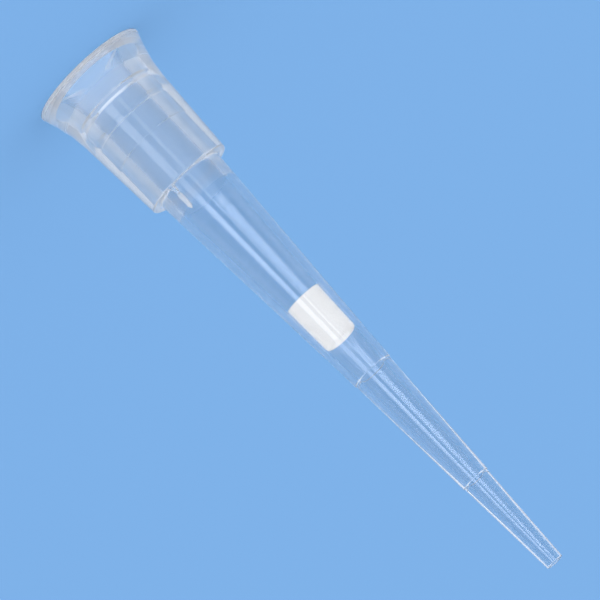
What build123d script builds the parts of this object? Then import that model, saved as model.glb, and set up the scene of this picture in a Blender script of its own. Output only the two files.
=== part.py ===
"""A 10 microlitre filter pipette tip, standing on its mouth with the point upwards.

The tip is two pieces.  The body is one clear polypropylene moulding: a flared collar that
takes the nozzle of a pipette, a ledge, and a barrel that tapers in three stretches to a fine
point.  The filter is a porous plug pressed into the barrel from the mouth.

The origin is the centre of the mouth plane, +Z runs up the axis to the point, and all sizes
are in millimetres.
"""

import os
from math import radians, tan

from build123d import *

# Lengths along the axis, from the mouth up: the four stretches of the outside.
COLLAR_LENGTH = 7.00
BARREL_LENGTH = 12.59
NECK_LENGTH = 7.03
POINT_LENGTH = 5.38

# Collar: a short straight lip, a flare, and a slow taper to the ledge.
LIP_DIAMETER = 6.09
LIP_HEIGHT = 0.10
LIP_ROUNDING = 0.06
FLARE_ANGLE = 17.6
FLARE_BLEND = 6.5
COLLAR_END_DIAMETER = 4.53
COLLAR_DRAFT = 3.1
LEDGE_ROUNDING = 0.08
BARREL_ROOT_FILLET = 0.12

# Bore of the collar: a lead-in, a shoulder, two sealing beads and the seat of the nozzle.
MOUTH_BORE_DIAMETER = 4.54
MOUTH_BEVEL = 0.20
MOUTH_BEVEL_HEIGHT = 0.11
LEAD_IN_END_DIAMETER = 3.32
SHOULDER_ANGLE = 52.0
SEAT_DIAMETER = 2.77
BEAD_PROUD = 0.055
BEAD_WIDTH = 0.16
FIRST_BEAD_HEIGHT = 1.82
BEAD_PITCH = 1.16
GROOVE_DEPTH = 0.13
SEAT_STEP = 0.03
SEAT_STEP_HEIGHT = 4.38
SEAT_DEPTH = 8.19

# Barrel: the wall outside the bore, and the bore at each change of taper.
ROOT_WALL = 0.445
FILTER_BORE_START_DIAMETER = 1.93
FILTER_BORE_END_DIAMETER = 1.80
FILTER_END_WALL = 0.295
NECK_BORE_DIAMETER = 1.42
POINT_BORE_DIAMETER = 0.84
ORIFICE_DIAMETER = 0.43
NECK_WALL = 0.382
POINT_WALL = 0.325
ORIFICE_WALL = 0.235
RING_STEP = 0.044
RING_STEP_RISE = 0.03
ORIFICE_ROUNDING = 0.03

# Filter plug.
FILTER_DEPTH = 14.86
FILTER_LENGTH = 2.69
FILTER_CLEARANCE = 0.01
FILTER_POINT_ROUNDING = 0.22

# Gate vestige: the stub left on the ledge where the runner broke off.
GATE_ROOT_DIAMETER = 0.38
GATE_NECK_DIAMETER = 0.17
GATE_NECK_HEIGHT = 0.48
GATE_DIAMETER = 0.25
GATE_SHOULDER_HEIGHT = 0.60
GATE_TEAR_HEIGHT = 1.20
GATE_TEAR_DIAMETER = 0.08
GATE_HEIGHT = 1.42
GATE_BEARING = -66.5
GATE_ROOT_SINK = 0.12

# Heights and radii that follow from the sizes above.
ledge_height = COLLAR_LENGTH
first_ring_height = ledge_height + BARREL_LENGTH
second_ring_height = first_ring_height + NECK_LENGTH
tip_length = second_ring_height + POINT_LENGTH
lip_radius = LIP_DIAMETER / 2
collar_end_radius = COLLAR_END_DIAMETER / 2
seat_radius = SEAT_DIAMETER / 2
inner_seat_radius = seat_radius - SEAT_STEP
barrel_root_radius = inner_seat_radius + ROOT_WALL
filter_end_height = FILTER_DEPTH + FILTER_LENGTH


def rounded_face(corners):
    """Face inside a closed outline of (radius, height, rounding) corners in the XZ plane."""
    face = make_face(Polyline(*[(r, z) for r, z, _ in corners], close=True))
    for r, z, rounding in corners:
        if rounding > 0:
            corner = min(face.vertices(), key=lambda v: (v.X - r) ** 2 + (v.Y - z) ** 2)
            face = fillet(corner, rounding)
    return Plane.XZ * face


def outside_corners():
    """Outside of the body, from the lip to the orifice."""
    draft = tan(radians(COLLAR_DRAFT))
    flare = tan(radians(FLARE_ANGLE))
    # The flare and the collar's taper are two straight lines, and they meet here.
    meeting = (lip_radius + flare * LIP_HEIGHT - collar_end_radius - draft * ledge_height) / (flare - draft)
    meeting_radius = lip_radius - flare * (meeting - LIP_HEIGHT)
    neck_radius = NECK_BORE_DIAMETER / 2 + NECK_WALL
    point_radius = POINT_BORE_DIAMETER / 2 + POINT_WALL
    return [
        (lip_radius, 0.0, LIP_ROUNDING),
        (lip_radius, LIP_HEIGHT, 0.0),
        (meeting_radius, meeting, FLARE_BLEND),
        (collar_end_radius, ledge_height, LEDGE_ROUNDING),
        (barrel_root_radius, ledge_height, BARREL_ROOT_FILLET),
        (FILTER_BORE_END_DIAMETER / 2 + FILTER_END_WALL, filter_end_height, 0.0),
        (neck_radius, first_ring_height, 0.0),
        (neck_radius - RING_STEP, first_ring_height + RING_STEP_RISE, 0.0),
        (point_radius, second_ring_height, 0.0),
        (point_radius - RING_STEP, second_ring_height + RING_STEP_RISE, 0.0),
        (ORIFICE_DIAMETER / 2 + ORIFICE_WALL, tip_length, ORIFICE_ROUNDING),
    ]


def bead(height):
    """The two ends of the crest of a sealing bead round the seat."""
    crest = seat_radius - BEAD_PROUD
    return [(crest, height - BEAD_WIDTH / 2, 0.0), (crest, height + BEAD_WIDTH / 2, 0.0)]


def inside_corners():
    """Inside of the body, from the mouth to the orifice."""
    mouth = MOUTH_BORE_DIAMETER / 2
    lead_in_end = LEAD_IN_END_DIAMETER / 2
    first_crest = bead(FIRST_BEAD_HEIGHT)
    second_crest = bead(FIRST_BEAD_HEIGHT + BEAD_PITCH)
    # The shoulder narrows the lead-in to the crest of the first bead.
    shoulder_rise = (lead_in_end - first_crest[0][0]) / tan(radians(SHOULDER_ANGLE))
    # Between the beads a groove is as deep as it is wide at each side.
    groove = seat_radius + GROOVE_DEPTH
    slope = GROOVE_DEPTH + BEAD_PROUD
    return [
        (mouth, 0.0, 0.0),
        (mouth - MOUTH_BEVEL, MOUTH_BEVEL_HEIGHT, 0.0),
        (lead_in_end, first_crest[0][1] - shoulder_rise, 0.0),
        *first_crest,
        (groove, first_crest[1][1] + slope, 0.0),
        (groove, second_crest[0][1] - slope, 0.0),
        *second_crest,
        (seat_radius, second_crest[1][1] + BEAD_PROUD, 0.0),
        (seat_radius, SEAT_STEP_HEIGHT, 0.0),
        (inner_seat_radius, SEAT_STEP_HEIGHT + SEAT_STEP, 0.0),
        (inner_seat_radius, SEAT_DEPTH, 0.0),
        (FILTER_BORE_START_DIAMETER / 2, FILTER_DEPTH, 0.0),
        (FILTER_BORE_END_DIAMETER / 2, filter_end_height, 0.0),
        (NECK_BORE_DIAMETER / 2, first_ring_height, 0.0),
        (POINT_BORE_DIAMETER / 2, second_ring_height, 0.0),
        (ORIFICE_DIAMETER / 2, tip_length, 0.0),
    ]


def gate_vestige():
    """Stub of the runner on the ledge, midway between the barrel and the collar's edge."""
    root = GATE_ROOT_DIAMETER / 2
    stub = GATE_DIAMETER / 2
    outline = Polyline(
        (0, -GATE_ROOT_SINK),
        (root, -GATE_ROOT_SINK),
        (root, 0),
        (GATE_NECK_DIAMETER / 2, GATE_NECK_HEIGHT),
        (stub, GATE_SHOULDER_HEIGHT),
        (stub, GATE_TEAR_HEIGHT),
        (GATE_TEAR_DIAMETER / 2, GATE_HEIGHT),
        (0, GATE_HEIGHT),
        close=True,
    )
    pin = revolve(Plane.XZ * make_face(outline), axis=Axis.Z)
    midway = (barrel_root_radius + collar_end_radius) / 2
    return Rot(Z=GATE_BEARING) * Pos(midway, 0, ledge_height) * pin


def tip_body():
    """The moulded body: one revolved wall from lip to orifice, with the gate vestige."""
    corners = outside_corners() + inside_corners()[::-1]
    wall = revolve(rounded_face(corners), axis=Axis.Z)
    return wall + gate_vestige()


def filter_plug():
    """The porous plug, which fills the bore between the two ends of its seat."""
    start = FILTER_BORE_START_DIAMETER / 2 - FILTER_CLEARANCE
    end = FILTER_BORE_END_DIAMETER / 2 - FILTER_CLEARANCE
    corners = [
        (0.0, FILTER_DEPTH, 0.0),
        (start, FILTER_DEPTH, 0.0),
        (end, filter_end_height, FILTER_POINT_ROUNDING),
        (0.0, filter_end_height, 0.0),
    ]
    return revolve(rounded_face(corners), axis=Axis.Z)


os.makedirs("parts", exist_ok=True)
export_step(tip_body(), "parts/tip_body.step")
export_step(filter_plug(), "parts/filter_plug.step")
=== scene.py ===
"""Scene of a 10 microlitre filter pipette tip that stands on its mouth.

The moulded body and the porous filter are turned from their sections with geometry nodes, so that
the clear wall has smooth, unfaceted surfaces.  Lengths are written in millimetres and turned to
metres by MM.  The camera looks across the tip and slightly down on it, and is rolled.
"""

import math

import bmesh
import bpy
from mathutils import Matrix, Vector


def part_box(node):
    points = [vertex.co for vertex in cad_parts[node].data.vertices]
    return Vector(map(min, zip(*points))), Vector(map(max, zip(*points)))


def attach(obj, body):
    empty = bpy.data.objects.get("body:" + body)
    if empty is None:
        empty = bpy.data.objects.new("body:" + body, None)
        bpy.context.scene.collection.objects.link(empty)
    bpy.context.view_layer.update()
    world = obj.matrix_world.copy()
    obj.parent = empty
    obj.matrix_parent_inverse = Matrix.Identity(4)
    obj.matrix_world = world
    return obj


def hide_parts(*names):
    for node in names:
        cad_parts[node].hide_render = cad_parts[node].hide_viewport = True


MM = 0.001

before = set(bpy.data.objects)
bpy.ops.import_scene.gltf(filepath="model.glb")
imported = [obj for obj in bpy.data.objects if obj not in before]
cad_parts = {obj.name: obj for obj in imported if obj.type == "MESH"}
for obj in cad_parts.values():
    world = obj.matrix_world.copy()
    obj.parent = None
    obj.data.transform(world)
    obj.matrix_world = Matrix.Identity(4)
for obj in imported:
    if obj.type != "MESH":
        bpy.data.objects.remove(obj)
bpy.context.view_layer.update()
_, body_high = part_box("tip_body")
filter_low, filter_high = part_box("filter_plug")

# ---------------------------------------------------------------------------------------------
# Sizes in millimetres
# ---------------------------------------------------------------------------------------------

# The heights at which the outside changes, from the mouth up.
TIP_LENGTH = body_high.z / MM
LEDGE_HEIGHT = 7.00
FIRST_RING_HEIGHT = 19.59
SECOND_RING_HEIGHT = 26.62

# Outside of the collar.
LIP_RADIUS = body_high.x / MM
LIP_HEIGHT = 0.10
LIP_ROUNDING = 0.06
FLARE_ANGLE = 17.6
FLARE_BLEND = 6.5
COLLAR_END_RADIUS = 2.265
COLLAR_DRAFT = 3.1
LEDGE_ROUNDING = 0.08
BARREL_ROOT_FILLET = 0.12

# Bore of the collar: a bevelled mouth, a lead-in that bends inwards, a shoulder, two sealing beads
# with a groove between them, and the seat of the nozzle.
MOUTH_BORE_RADIUS = 2.05
MOUTH_BEVEL_RADIUS = 1.80
MOUTH_BEVEL_HEIGHT = 0.17
MOUTH_BEVEL_ROUNDING = 0.09
LEAD_IN_BEND_RADIUS = 1.55
LEAD_IN_BEND_HEIGHT = 0.75
LEAD_IN_ROUNDING = 1.6
LEAD_IN_END_RADIUS = 1.47
SHOULDER_RISE = 0.10
SHOULDER_ROUNDING = 0.075
SEAT_RADIUS = 1.385
BEAD_PROUD = 0.035
BEAD_WIDTH = 0.16
BEAD_ROUNDING = 0.06
FIRST_BEAD_HEIGHT = 1.82
BEAD_PITCH = 1.16
GROOVE_DEPTH = 0.03
GROOVE_SIDE_SLOPE = 2.5  # length of the groove's sides along the axis, over their depth
SEAT_STEP = 0.03
SEAT_STEP_HEIGHT = 4.38
SEAT_DEPTH = 8.19

# Barrel: bore radii from the filter to the point, and the wall outside them.
FILTER_BORE_START_RADIUS = 0.965
FILTER_BORE_END_RADIUS = 0.90
NECK_BORE_RADIUS = 0.71
POINT_BORE_RADIUS = 0.42
ORIFICE_RADIUS = 0.215
ROOT_WALL = 0.445
FILTER_END_WALL = 0.295
NECK_WALL = 0.382
POINT_WALL = 0.325
ORIFICE_WALL = 0.235
ORIFICE_ROUNDING = 0.03
RING_STEP = 0.044
RING_STEP_RISE = 0.03

# A moulded edge is never quite sharp, and a change of taper is a gentle bend, most of all where the
# outside passes the end of the filter.
EDGE = 0.015
BEND = 0.8
OUTER_BEND = 3.2

# Filter plug, which clears its bore by a hundredth.
FILTER_DEPTH = filter_low.z / MM
FILTER_END = filter_high.z / MM
FILTER_CLEARANCE = 0.01
FILTER_START_ROUNDING = 0.03
FILTER_POINT_ROUNDING = 0.22

# Gate vestige on the ledge: a cone, a neck, and a stick that ends in a tear.
GATE_ROOT_RADIUS = 0.19
GATE_ROOT_SINK = 0.12
GATE_ROOT_ROUNDING = 0.03
GATE_NECK_RADIUS = 0.085
GATE_NECK_HEIGHT = 0.48
GATE_NECK_ROUNDING = 0.10
GATE_RADIUS = 0.125
GATE_SHOULDER_HEIGHT = 0.60
GATE_SHOULDER_ROUNDING = 0.06
GATE_TEAR_HEIGHT = 1.20
GATE_TEAR_ROUNDING = 0.05
GATE_END_RADIUS = 0.04
GATE_END_ROUNDING = 0.02
GATE_HEIGHT = 1.42
GATE_BEARING = math.radians(-66.5)

# Radii that follow from the sizes above.
INNER_SEAT_RADIUS = SEAT_RADIUS - SEAT_STEP
BARREL_ROOT_RADIUS = INNER_SEAT_RADIUS + ROOT_WALL

# How fine the turned surfaces are.  Facets show in clear plastic, so the body has the most.
BODY_SEGMENTS = 192
FILTER_SEGMENTS = 128
GATE_SEGMENTS = 48
ARC_STEP = math.radians(9.0)
SHADING_MARGIN = 0.012
CREASE_ANGLE = math.radians(30.0)


# ---------------------------------------------------------------------------------------------
# Sections
# ---------------------------------------------------------------------------------------------

def rounded_section(corners):
    """Points (radius, height) of a closed section whose corners are arcs of the given radii."""
    points = []
    count = len(corners)
    for i in range(count):
        corner = Vector(corners[i][:2])
        rounding = corners[i][2]
        if rounding == 0.0:
            points.append(tuple(corner))
            continue
        before = Vector(corners[i - 1][:2]) - corner
        after = Vector(corners[(i + 1) % count][:2]) - corner
        turn = math.pi - before.angle(after)
        reach = rounding * math.tan(turn / 2)
        start = corner + before.normalized() * reach
        end = corner + after.normalized() * reach
        # A point just outside each end of the arc keeps the straight stretches evenly shaded.  It
        # stands off by no more than a fifth of a stretch.
        margin = min(SHADING_MARGIN, 0.2 * (before.length - reach), 0.2 * (after.length - reach))
        points.append(tuple(start + before.normalized() * margin))
        inward = (before.normalized() + after.normalized()).normalized()
        centre = corner + inward * math.hypot(rounding, reach)
        steps = max(2, math.ceil(turn / ARC_STEP))
        first = start - centre
        sweep = first.angle_signed(end - centre)
        for step in range(steps + 1):
            point = first.copy()
            point.rotate(Matrix.Rotation(-sweep * step / steps, 2))
            points.append(tuple(centre + point))
        points.append(tuple(end + after.normalized() * margin))
    return points


def outside_corners():
    """Outside of the body, from the lip up to the orifice, as (radius, height, rounding)."""
    draft = math.tan(math.radians(COLLAR_DRAFT))
    flare = math.tan(math.radians(FLARE_ANGLE))
    # The flare and the collar's taper are two straight lines, and they meet here.
    gap = LIP_RADIUS + flare * LIP_HEIGHT - COLLAR_END_RADIUS - draft * LEDGE_HEIGHT
    meeting = gap / (flare - draft)
    meeting_radius = LIP_RADIUS - flare * (meeting - LIP_HEIGHT)
    neck = NECK_BORE_RADIUS + NECK_WALL
    point = POINT_BORE_RADIUS + POINT_WALL
    return [
        (LIP_RADIUS, 0.0, LIP_ROUNDING),
        (LIP_RADIUS, LIP_HEIGHT, EDGE),
        (meeting_radius, meeting, FLARE_BLEND),
        (COLLAR_END_RADIUS, LEDGE_HEIGHT, LEDGE_ROUNDING),
        (BARREL_ROOT_RADIUS, LEDGE_HEIGHT, BARREL_ROOT_FILLET),
        (FILTER_BORE_END_RADIUS + FILTER_END_WALL, FILTER_END, OUTER_BEND),
        (neck, FIRST_RING_HEIGHT, EDGE),
        (neck - RING_STEP, FIRST_RING_HEIGHT + RING_STEP_RISE, EDGE),
        (point, SECOND_RING_HEIGHT, EDGE),
        (point - RING_STEP, SECOND_RING_HEIGHT + RING_STEP_RISE, EDGE),
        (ORIFICE_RADIUS + ORIFICE_WALL, TIP_LENGTH, ORIFICE_ROUNDING),
    ]


def bore_corners():
    """Bore of the body, from the orifice down to the mouth, as (radius, height, rounding)."""
    crest = SEAT_RADIUS - BEAD_PROUD
    groove = SEAT_RADIUS + GROOVE_DEPTH
    side = GROOVE_SIDE_SLOPE * (GROOVE_DEPTH + BEAD_PROUD)
    first_bead_low = FIRST_BEAD_HEIGHT - BEAD_WIDTH / 2
    first_bead_high = FIRST_BEAD_HEIGHT + BEAD_WIDTH / 2
    second_bead_low = first_bead_low + BEAD_PITCH
    second_bead_high = first_bead_high + BEAD_PITCH
    return [
        (ORIFICE_RADIUS, TIP_LENGTH, EDGE),
        (POINT_BORE_RADIUS, SECOND_RING_HEIGHT, BEND),
        (NECK_BORE_RADIUS, FIRST_RING_HEIGHT, BEND),
        (FILTER_BORE_END_RADIUS, FILTER_END, BEND),
        (FILTER_BORE_START_RADIUS, FILTER_DEPTH, BEND),
        (INNER_SEAT_RADIUS, SEAT_DEPTH, BEND),
        (INNER_SEAT_RADIUS, SEAT_STEP_HEIGHT + SEAT_STEP, EDGE),
        (SEAT_RADIUS, SEAT_STEP_HEIGHT, EDGE),
        (SEAT_RADIUS, second_bead_high + BEAD_PROUD, EDGE),
        (crest, second_bead_high, BEAD_ROUNDING),
        (crest, second_bead_low, BEAD_ROUNDING),
        (groove, second_bead_low - side, BEAD_ROUNDING),
        (groove, first_bead_high + side, BEAD_ROUNDING),
        (crest, first_bead_high, BEAD_ROUNDING),
        (crest, first_bead_low, SHOULDER_ROUNDING),
        (LEAD_IN_END_RADIUS, first_bead_low - SHOULDER_RISE, BEAD_ROUNDING),
        (LEAD_IN_BEND_RADIUS, LEAD_IN_BEND_HEIGHT, LEAD_IN_ROUNDING),
        (MOUTH_BEVEL_RADIUS, MOUTH_BEVEL_HEIGHT, MOUTH_BEVEL_ROUNDING),
        (MOUTH_BORE_RADIUS, 0.0, EDGE),
    ]


def filter_corners():
    """Half section of the filter plug, as (radius, height, rounding)."""
    start = FILTER_BORE_START_RADIUS - FILTER_CLEARANCE
    end = FILTER_BORE_END_RADIUS - FILTER_CLEARANCE
    return [
        (0.0, FILTER_DEPTH, 0.0),
        (start, FILTER_DEPTH, FILTER_START_ROUNDING),
        (end, FILTER_END, FILTER_POINT_ROUNDING),
        (0.0, FILTER_END, 0.0),
    ]


def gate_corners():
    """Half section of the gate stub above the ledge, as (radius, height, rounding)."""
    return [
        (0.0, -GATE_ROOT_SINK, 0.0),
        (GATE_ROOT_RADIUS, -GATE_ROOT_SINK, 0.0),
        (GATE_ROOT_RADIUS, 0.0, GATE_ROOT_ROUNDING),
        (GATE_NECK_RADIUS, GATE_NECK_HEIGHT, GATE_NECK_ROUNDING),
        (GATE_RADIUS, GATE_SHOULDER_HEIGHT, GATE_SHOULDER_ROUNDING),
        (GATE_RADIUS, GATE_TEAR_HEIGHT, GATE_TEAR_ROUNDING),
        (GATE_END_RADIUS, GATE_HEIGHT, GATE_END_ROUNDING),
        (0.0, GATE_HEIGHT, 0.0),
    ]


# ---------------------------------------------------------------------------------------------
# Small helpers for node trees
# ---------------------------------------------------------------------------------------------

def linear(hex_colour):
    """Linear RGBA of an sRGB hex colour such as #8899AA."""
    channels = [int(hex_colour[i:i + 2], 16) / 255 for i in (1, 3, 5)]
    return tuple(c / 12.92 if c <= 0.04045 else ((c + 0.055) / 1.055) ** 2.4 for c in channels) + (1.0,)


def add_node(tree, kind, settings=None, inputs=None):
    """Adds a node, sets its properties, and fills or links its inputs by name or number."""
    node = tree.nodes.new(kind)
    for name, value in (settings or {}).items():
        setattr(node, name, value)
    for name, value in (inputs or {}).items():
        if isinstance(value, bpy.types.NodeSocket):
            tree.links.new(value, node.inputs[name])
        else:
            node.inputs[name].default_value = value
    return node


def within(tree, value, low, high, soft):
    """1 between two limits and 0 outside them, with a smooth edge on each limit."""
    rising = add_node(tree, "ShaderNodeMapRange", {"interpolation_type": "SMOOTHSTEP"}, {
        "Value": value, "From Min": low - soft, "From Max": low + soft})
    falling = add_node(tree, "ShaderNodeMapRange", {"interpolation_type": "SMOOTHSTEP"}, {
        "Value": value, "From Min": high - soft, "From Max": high + soft, "To Min": 1.0, "To Max": 0.0})
    both = add_node(tree, "ShaderNodeMath", {"operation": "MULTIPLY"}, {
        0: rising.outputs["Result"], 1: falling.outputs["Result"]})
    return both.outputs["Value"]


def zone(tree, first, first_range, second, second_range):
    """1 where two values are each in a range of (low, high, soft edge), and 0 elsewhere."""
    shares = {0: within(tree, first, *first_range), 1: within(tree, second, *second_range)}
    return add_node(tree, "ShaderNodeMath", {"operation": "MULTIPLY"}, shares).outputs["Value"]


def new_material(name):
    """A material with an empty node tree and its output node."""
    material = bpy.data.materials.new(name)
    material.use_nodes = True
    material.node_tree.nodes.clear()
    output = add_node(material.node_tree, "ShaderNodeOutputMaterial")
    return material, material.node_tree, output


# ---------------------------------------------------------------------------------------------
# Materials
# ---------------------------------------------------------------------------------------------

# Roughness of the three finishes of the body, and how clear the torn one is.
POLISHED = 0.04
SATIN = 0.3
TORN = 0.6
TORN_CLEAR = 0.3

# Where the finishes end, in millimetres.  The satin of the seat reaches past its grooves but not to
# the outside of the barrel, and the torn stick stands clear of the fillet at the barrel's root.
SATIN_REACH = 0.075
MOUTH_FACE_HEIGHT = 0.2
STICK_CLEARANCE = 0.07
NO_LIMIT = -1.0  # below every radius and height of the tip

# The milky haze scatters light 0.24 times in a millimetre of wall, which is about a fifth of it.
HAZE = 0.24
# The flow of the melt leaves a faint waviness, a few tenths of a millimetre long.
WAVE_LENGTH = 0.625
WAVE_RELIEF = 0.02

# The filter's grains, how many patches a millimetre of its faint mottle has, and how far light
# spreads inside it.
GRAIN_SIZE = 0.12
GRAIN_RELIEF = 0.03
MOTTLE_PATCHES = 2.2
FILTER_SCATTER = 0.6

# The background paper, which also stands behind the tip in every other direction.
PAPER = linear("#7FB2E8")


def clear_polypropylene():
    """Natural polypropylene from a polished mould: clear, with the milky haze of its crystals."""
    material, tree, output = new_material("clear_polypropylene")
    place = add_node(tree, "ShaderNodeTexCoord").outputs["Object"]
    waves = add_node(tree, "ShaderNodeTexNoise", inputs={
        "Vector": place, "Scale": 1 / (WAVE_LENGTH * MM), "Detail": 2.0})
    bump = add_node(tree, "ShaderNodeBump", inputs={
        "Strength": 0.05, "Distance": WAVE_RELIEF * MM, "Height": waves.outputs["Fac"]})
    # Radius and height in millimetres.
    scaled = add_node(tree, "ShaderNodeVectorMath", {"operation": "SCALE"}, {0: place, "Scale": 1 / MM})
    parts = add_node(tree, "ShaderNodeSeparateXYZ", inputs={0: scaled.outputs["Vector"]}).outputs
    across = add_node(tree, "ShaderNodeCombineXYZ", inputs={0: parts["X"], 1: parts["Y"]})
    radius = add_node(tree, "ShaderNodeVectorMath", {"operation": "LENGTH"}, {
        0: across.outputs["Vector"]}).outputs["Value"]
    height = parts["Z"]
    # The core pin leaves the seat and the end of the lead-in satin, and the mouth face is trimmed satin.
    seat = zone(tree, radius, (NO_LIMIT, SEAT_RADIUS + SATIN_REACH, 0.01),
                height, (NO_LIMIT, SEAT_DEPTH, 0.12))
    lead_in = zone(tree, radius, (NO_LIMIT, MOUTH_BEVEL_RADIUS, 0.01),
                   height, (LEAD_IN_BEND_HEIGHT, FIRST_BEAD_HEIGHT, 0.25))
    mouth = within(tree, height, NO_LIMIT, MOUTH_FACE_HEIGHT, 0.02)
    bore = add_node(tree, "ShaderNodeMath", {"operation": "MAXIMUM"}, {0: seat, 1: lead_in})
    satin = add_node(tree, "ShaderNodeMath", {"operation": "MAXIMUM"}, {
        0: bore.outputs["Value"], 1: mouth})
    moulded = add_node(tree, "ShaderNodeMapRange", inputs={
        "Value": satin.outputs["Value"], "To Min": POLISHED, "To Max": SATIN})
    # The stick of the gate tore off, which left it white and rough.
    torn = zone(tree, radius, (BARREL_ROOT_RADIUS + STICK_CLEARANCE, LIP_RADIUS, 0.005),
                height, (LEDGE_HEIGHT + GATE_NECK_HEIGHT, TIP_LENGTH, 0.08))
    roughness = add_node(tree, "ShaderNodeMapRange", inputs={
        "Value": torn, "To Min": moulded.outputs["Result"], "To Max": TORN})
    clearness = add_node(tree, "ShaderNodeMapRange", inputs={
        "Value": torn, "To Min": 1.0, "To Max": TORN_CLEAR})
    plastic = add_node(tree, "ShaderNodeBsdfPrincipled", inputs={
        "Base Color": linear("#FBFCFE"), "Roughness": roughness.outputs["Result"], "IOR": 1.49,
        "Transmission Weight": clearness.outputs["Result"], "Normal": bump.outputs["Normal"]})
    haze = add_node(tree, "ShaderNodeVolumeScatter", inputs={
        "Color": linear("#F4F7FF"), "Density": HAZE / MM, "Anisotropy": -0.2})
    tree.links.new(plastic.outputs["BSDF"], output.inputs["Surface"])
    tree.links.new(haze.outputs["Volume"], output.inputs["Volume"])
    return material


def sintered_polyethylene():
    """Sintered polyethylene: white grains fused where they touch, so it is matt and finely pitted."""
    material, tree, output = new_material("sintered_polyethylene")
    place = add_node(tree, "ShaderNodeTexCoord").outputs["Object"]
    grains = add_node(tree, "ShaderNodeTexVoronoi", {"feature": "SMOOTH_F1"}, {
        "Vector": place, "Scale": 1 / (GRAIN_SIZE * MM), "Smoothness": 0.4})
    mottle = add_node(tree, "ShaderNodeTexNoise", inputs={
        "Vector": place, "Scale": MOTTLE_PATCHES / MM, "Detail": 2.0})
    shade = add_node(tree, "ShaderNodeMix", {"data_type": "RGBA"}, {
        0: mottle.outputs["Fac"], 6: linear("#F8F9FA"), 7: linear("#FFFFFF")})
    bump = add_node(tree, "ShaderNodeBump", {"invert": True}, {
        "Strength": 0.35, "Distance": GRAIN_RELIEF * MM, "Height": grains.outputs["Distance"]})
    plastic = add_node(tree, "ShaderNodeBsdfPrincipled", inputs={
        "Base Color": shade.outputs[2], "Roughness": 0.75, "IOR": 1.51, "Normal": bump.outputs["Normal"],
        "Subsurface Weight": 0.4, "Subsurface Scale": FILTER_SCATTER * MM,
        "Subsurface Radius": (1.0, 1.0, 1.0)})
    tree.links.new(plastic.outputs["BSDF"], output.inputs["Surface"])
    return material


def blue_paper():
    """Pale blue background paper, uncoated and without visible grain at this distance."""
    material, tree, output = new_material("blue_paper")
    paper = add_node(tree, "ShaderNodeBsdfDiffuse", inputs={"Color": PAPER, "Roughness": 0.5})
    tree.links.new(paper.outputs["BSDF"], output.inputs["Surface"])
    return material


# ---------------------------------------------------------------------------------------------
# Turned pieces
# ---------------------------------------------------------------------------------------------

# Radius in millimetres of the circle that a section is swept round, and how far apart in metres two
# points may be that count as one.
HUB = 1.0
SAME_POINT = 1e-7


def turning_tree():
    """Geometry nodes that sweep a section round the axis, with the number of segments as an input."""
    tree = bpy.data.node_groups.new("turned_from_section", "GeometryNodeTree")
    interface = tree.interface
    interface.new_socket("Section", in_out="INPUT", socket_type="NodeSocketGeometry")
    interface.new_socket("Segments", in_out="INPUT", socket_type="NodeSocketInt")
    interface.new_socket("Hub radius", in_out="INPUT", socket_type="NodeSocketFloat")
    interface.new_socket("Finish", in_out="INPUT", socket_type="NodeSocketMaterial")
    interface.new_socket("Turned piece", in_out="OUTPUT", socket_type="NodeSocketGeometry")
    given = add_node(tree, "NodeGroupInput").outputs
    section = add_node(tree, "GeometryNodeMeshToCurve", inputs={"Mesh": given["Section"]})
    circle = add_node(tree, "GeometryNodeCurvePrimitiveCircle", {"mode": "RADIUS"}, {
        "Resolution": given["Segments"], "Radius": given["Hub radius"]})
    upright = add_node(tree, "GeometryNodeSetCurveNormal", {"mode": "Z_UP"}, {
        "Curve": circle.outputs["Curve"]})
    sweep = add_node(tree, "GeometryNodeCurveToMesh", inputs={
        "Curve": upright.outputs["Curve"], "Profile Curve": section.outputs["Curve"]})
    closed = add_node(tree, "GeometryNodeMergeByDistance", inputs={
        "Geometry": sweep.outputs["Mesh"], "Distance": SAME_POINT})
    real = add_node(tree, "GeometryNodeRealizeInstances", inputs={
        "Geometry": closed.outputs["Geometry"]})
    finish = add_node(tree, "GeometryNodeSetMaterial", inputs={
        "Geometry": real.outputs["Geometry"], "Material": given["Finish"]})
    add_node(tree, "NodeGroupOutput", inputs={"Turned piece": finish.outputs["Geometry"]})
    return tree


def keep_result(piece, modifier):
    """Makes what a modifier gives the piece's own plain mesh, and takes the modifier off."""
    bpy.context.view_layer.update()
    depsgraph = bpy.context.evaluated_depsgraph_get()
    mesh = bpy.data.meshes.new_from_object(piece.evaluated_get(depsgraph))
    piece.modifiers.remove(modifier)
    piece.data = mesh


def turned(name, section, segments, material, tree):
    """A closed mesh of a section turned round the axis, as a plain object at the origin."""
    outline = bpy.data.meshes.new(name + "_section")
    points = [((radius - HUB) * MM, -height * MM, 0.0) for radius, height in section]
    edges = [(i, (i + 1) % len(points)) for i in range(len(points))]
    outline.from_pydata(points, edges, [])
    piece = bpy.data.objects.new(name, outline)
    bpy.context.scene.collection.objects.link(piece)
    modifier = piece.modifiers.new("turning", "NODES")
    modifier.node_group = tree
    values = {"Segments": segments, "Hub radius": HUB * MM, "Finish": material}
    for item in tree.interface.items_tree:
        if item.in_out == "INPUT" and item.name in values:
            modifier[item.identifier] = values[item.name]
    keep_result(piece, modifier)
    bpy.data.meshes.remove(outline)
    # The points on the axis meet in one, and all faces are turned outwards.
    work = bmesh.new()
    work.from_mesh(piece.data)
    bmesh.ops.remove_doubles(work, verts=work.verts, dist=SAME_POINT)
    bmesh.ops.recalc_face_normals(work, faces=work.faces)
    work.to_mesh(piece.data)
    work.free()
    return piece


def smooth(piece):
    """Shades a piece smooth, with its sharp edges left crisp."""
    piece.data.shade_smooth()
    piece.data.set_sharp_from_angle(angle=CREASE_ANGLE)


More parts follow.
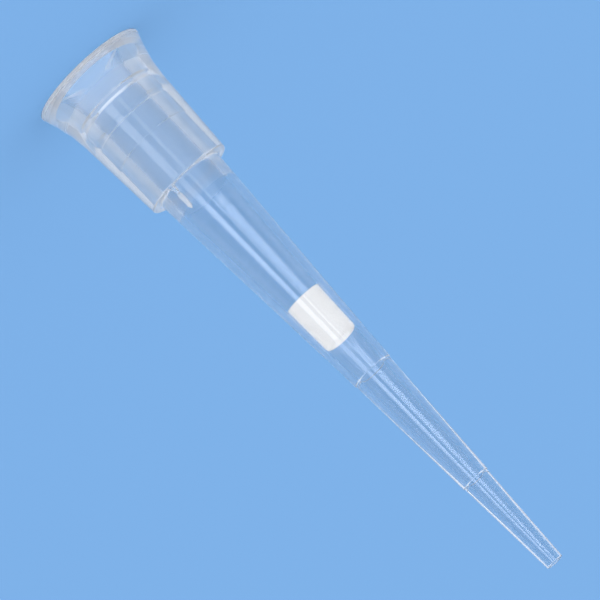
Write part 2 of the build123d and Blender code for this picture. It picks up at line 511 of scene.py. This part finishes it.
def gate_stub(material, tree):
    """The stub of the gate on the ledge, midway between the barrel and the collar's edge."""
    stub = turned("gate_stub", rounded_section(gate_corners()), GATE_SEGMENTS, material, tree)
    midway = (BARREL_ROOT_RADIUS + COLLAR_END_RADIUS) / 2
    foot = Vector((midway * math.cos(GATE_BEARING), midway * math.sin(GATE_BEARING), LEDGE_HEIGHT))
    stub.data.transform(Matrix.Translation(foot * MM))
    return stub


def join_solid(piece, tool):
    """Unites a tool with a piece, and removes the tool."""
    union = piece.modifiers.new("union", "BOOLEAN")
    union.operation = "UNION"
    union.solver = "EXACT"
    union.object = tool
    keep_result(piece, union)
    bpy.data.objects.remove(tool)


def moulded_body(material, tree):
    """The clear body with its gate stub, in one closed mesh."""
    section = rounded_section(outside_corners() + bore_corners())
    body = turned("moulded_body", section, BODY_SEGMENTS, material, tree)
    join_solid(body, gate_stub(material, tree))
    smooth(body)
    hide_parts("tip_body")
    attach(body, "root")


def porous_filter(material, tree):
    """The white filter plug that sits in the barrel."""
    plug = turned("porous_filter", rounded_section(filter_corners()), FILTER_SEGMENTS, material, tree)
    smooth(plug)
    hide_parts("filter_plug")
    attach(plug, "root")


# ---------------------------------------------------------------------------------------------
# Studio
# ---------------------------------------------------------------------------------------------

DARK_ROOM = (0.05, 0.05, 0.05, 1.0)
# Plain white light from all round falls on what is matt.  The clear wall takes part of the light on
# what stands inside it, so there the light is stronger.
SOFT_LIGHT = (1.02, 1.02, 1.02, 1.0)
INNER_LIGHT = (1.75, 1.75, 1.75, 1.0)
# The panels are a cool white and the sky is a warm one, both as linear RGB.
PANEL_WHITE = (0.93, 1.0, 1.14)
SKY_WHITE = (1.0, 0.97, 0.9)

# Bearings are in degrees from the camera's side, positive towards +X, and heights are in degrees
# above the horizon.  Each range is (low, high, soft edge).
ALL_ROUND = (-200.0, 200.0, 3.0)
FRONT_HALF = (-90.0, 90.0, 8.0)
ROOM_BEARINGS = (-97.0, 97.0, 3.0)
ROOM_HEIGHTS = (-50.0, 200.0, 3.0)
TABLE_TOP = -26.0
TABLE_EDGE = -12.3
TABLE_HEIGHTS = (-50.0, TABLE_TOP, 3.0)
TABLE_SIDE_HEIGHTS = (-19.5, TABLE_EDGE, 0.7)
OUTSIDE_HEIGHTS = (TABLE_EDGE, -1.0, 1.0)
BORE_HEIGHTS = (TABLE_TOP, TABLE_EDGE, 1.0)

# The panels of the studio as (bearings, heights, white, level).  Each covers what is before it.
PANELS = [
    # The bright wall in front, above the level of the tip.
    ((-58.0, 58.0, 4.0), (-1.0, 27.0, 2.0), PANEL_WHITE, 2.0),
    # The sky, its brighter half in front, and the zenith.
    (ALL_ROUND, (25.0, 200.0, 4.0), SKY_WHITE, 0.83),
    (FRONT_HALF, (25.0, 60.0, 4.0), SKY_WHITE, 1.42),
    (ALL_ROUND, (60.0, 200.0, 4.0), SKY_WHITE, 0.65),
    # The white table under the paper, brighter in front, and its sides to the left and the right.
    (ALL_ROUND, TABLE_HEIGHTS, PANEL_WHITE, 1.3),
    (FRONT_HALF, TABLE_HEIGHTS, PANEL_WHITE, 2.4),
    ((-135.0, -88.0, 4.0), TABLE_SIDE_HEIGHTS, PANEL_WHITE, 0.95),
    ((88.0, 135.0, 4.0), TABLE_SIDE_HEIGHTS, PANEL_WHITE, 0.95),
    # What the outside mirrors: a narrow light, a wide one and a faint one.
    ((-14.0, -6.5, 1.0), OUTSIDE_HEIGHTS, PANEL_WHITE, 2.0),
    ((10.0, 29.0, 1.5), OUTSIDE_HEIGHTS, PANEL_WHITE, 2.6),
    ((-35.0, -25.0, 3.0), OUTSIDE_HEIGHTS, PANEL_WHITE, 0.5),
    # What the bore mirrors: the same lights lower down.
    ((-50.0, -30.0, 4.0), BORE_HEIGHTS, PANEL_WHITE, 0.6),
    ((-32.0, -10.5, 2.0), BORE_HEIGHTS, PANEL_WHITE, 1.9),
    ((20.0, 60.0, 2.0), BORE_HEIGHTS, PANEL_WHITE, 4.0),
]


def paper_floor():
    """A wide sheet of blue paper under the tip, which the clear wall neither mirrors nor bends."""
    half = 1.5
    corners = [(-half, -half, 0), (half, -half, 0), (half, half, 0), (-half, half, 0)]
    mesh = bpy.data.meshes.new("paper_floor")
    mesh.from_pydata(corners, [], [(0, 1, 2, 3)])
    mesh.materials.append(blue_paper())
    floor = bpy.data.objects.new("paper_floor", mesh)
    bpy.context.scene.collection.objects.link(floor)
    floor.visible_transmission = False
    floor.visible_glossy = False
    floor.visible_volume_scatter = False


def studio_room(tree):
    """Colour of the studio: blue paper behind, a dark room in front, and the panels over both."""
    way = add_node(tree, "ShaderNodeTexCoord").outputs["Generated"]
    parts = add_node(tree, "ShaderNodeSeparateXYZ", inputs={0: way}).outputs
    front = add_node(tree, "ShaderNodeMath", {"operation": "MULTIPLY"}, {0: parts["Y"], 1: -1.0})
    turn = add_node(tree, "ShaderNodeMath", {"operation": "ARCTAN2"}, {
        0: parts["X"], 1: front.outputs["Value"]})
    tilt = add_node(tree, "ShaderNodeMath", {"operation": "ARCSINE"}, {0: parts["Z"]})
    bearing = add_node(tree, "ShaderNodeMath", {"operation": "DEGREES"}, {0: turn.outputs["Value"]})
    height = add_node(tree, "ShaderNodeMath", {"operation": "DEGREES"}, {0: tilt.outputs["Value"]})
    bearing = bearing.outputs["Value"]
    height = height.outputs["Value"]
    dark = zone(tree, bearing, ROOM_BEARINGS, height, ROOM_HEIGHTS)
    colour = add_node(tree, "ShaderNodeMix", {"data_type": "RGBA"}, {0: dark, 6: PAPER, 7: DARK_ROOM})
    for bearings, heights, white, level in PANELS:
        share = zone(tree, bearing, bearings, height, heights)
        light = tuple(level * part for part in white) + (1.0,)
        colour = add_node(tree, "ShaderNodeMix", {"data_type": "RGBA"}, {
            0: share, 6: colour.outputs[2], 7: light})
    return colour.outputs[2]


def studio_world():
    """The studio in the clear wall, plain white light on matt surfaces, and blue paper behind all."""
    world = bpy.data.worlds.new("studio")
    bpy.context.scene.world = world
    world.use_nodes = True
    tree = world.node_tree
    tree.nodes.clear()
    output = add_node(tree, "ShaderNodeOutputWorld")
    room = studio_room(tree)
    # What a ray met on its way.  A look straight through the tip crosses four surfaces of the wall,
    # and so does the light on the piece inside it: two on the way in and two on the way out.
    path = add_node(tree, "ShaderNodeLightPath").outputs
    matt = add_node(tree, "ShaderNodeMath", {"operation": "GREATER_THAN"}, {
        0: path["Diffuse Depth"], 1: 0.5}).outputs["Value"]
    mirrored = add_node(tree, "ShaderNodeMath", {"operation": "GREATER_THAN"}, {
        0: path["Glossy Depth"], 1: 0.5}).outputs["Value"]
    bent = add_node(tree, "ShaderNodeMath", {"operation": "GREATER_THAN"}, {
        0: path["Transmission Depth"], 1: 0.5}).outputs["Value"]
    through = add_node(tree, "ShaderNodeMath", {"operation": "GREATER_THAN"}, {
        0: path["Transmission Depth"], 1: 2.5}).outputs["Value"]
    # The room is only mirrored in the clear wall or bent by it.
    clear = add_node(tree, "ShaderNodeMath", {"operation": "MAXIMUM"}, {
        0: mirrored, 1: bent}).outputs["Value"]
    shows_room = add_node(tree, "ShaderNodeMath", {"operation": "SUBTRACT", "use_clamp": True}, {
        0: clear, 1: matt}).outputs["Value"]
    # A look past the tip, or straight through it, shows the paper.
    straight = add_node(tree, "ShaderNodeMath", {"operation": "SUBTRACT", "use_clamp": True}, {
        0: through, 1: mirrored}).outputs["Value"]
    straight = add_node(tree, "ShaderNodeMath", {"operation": "SUBTRACT", "use_clamp": True}, {
        0: straight, 1: matt}).outputs["Value"]
    shows_paper = add_node(tree, "ShaderNodeMath", {"operation": "MAXIMUM"}, {
        0: straight, 1: path["Is Camera Ray"]}).outputs["Value"]
    colour = add_node(tree, "ShaderNodeMix", {"data_type": "RGBA"}, {
        0: through, 6: SOFT_LIGHT, 7: INNER_LIGHT}).outputs[2]
    colour = add_node(tree, "ShaderNodeMix", {"data_type": "RGBA"}, {
        0: shows_room, 6: colour, 7: room}).outputs[2]
    colour = add_node(tree, "ShaderNodeMix", {"data_type": "RGBA"}, {
        0: shows_paper, 6: colour, 7: PAPER}).outputs[2]
    light = add_node(tree, "ShaderNodeBackground", inputs={"Color": colour, "Strength": 1.0})
    tree.links.new(light.outputs["Background"], output.inputs["Surface"])


def camera():
    """A long lens that looks slightly down on the tip, rolled so that the point is at the lower right."""
    target = Vector((0.0, 0.0, 15.2 * MM))
    distance = 420.0 * MM
    height = math.radians(10.7)
    roll = math.radians(136.315)
    place = target + Vector((0.0, -math.cos(height), math.sin(height))) * distance
    data = bpy.data.cameras.new("camera")
    data.sensor_width = 36.0
    data.lens = 540.6
    data.shift_x = -0.0144
    data.shift_y = 0.0071
    view = bpy.data.objects.new("camera", data)
    bpy.context.scene.collection.objects.link(view)
    aim = (target - place).to_track_quat("-Z", "Y").to_matrix()
    turn = Matrix.Rotation(roll, 3, "Z")
    view.matrix_world = Matrix.Translation(place) @ (aim @ turn).to_4x4()
    bpy.context.scene.camera = view


# ---------------------------------------------------------------------------------------------
# Making
# ---------------------------------------------------------------------------------------------

camera()
turning = turning_tree()
moulded_body(clear_polypropylene(), turning)
porous_filter(sintered_polyethylene(), turning)
paper_floor()
studio_world()

# Light that crosses many clear walls needs many bounces, or the rims and the ledge go dark.
CLEAR_WALL_BOUNCES = 32
HAZE_BOUNCES = 6

scene = bpy.context.scene
scene.view_settings.view_transform = "Standard"
scene.cycles.max_bounces = CLEAR_WALL_BOUNCES
scene.cycles.transmission_bounces = CLEAR_WALL_BOUNCES
scene.cycles.glossy_bounces = CLEAR_WALL_BOUNCES
scene.cycles.volume_bounces = HAZE_BOUNCES
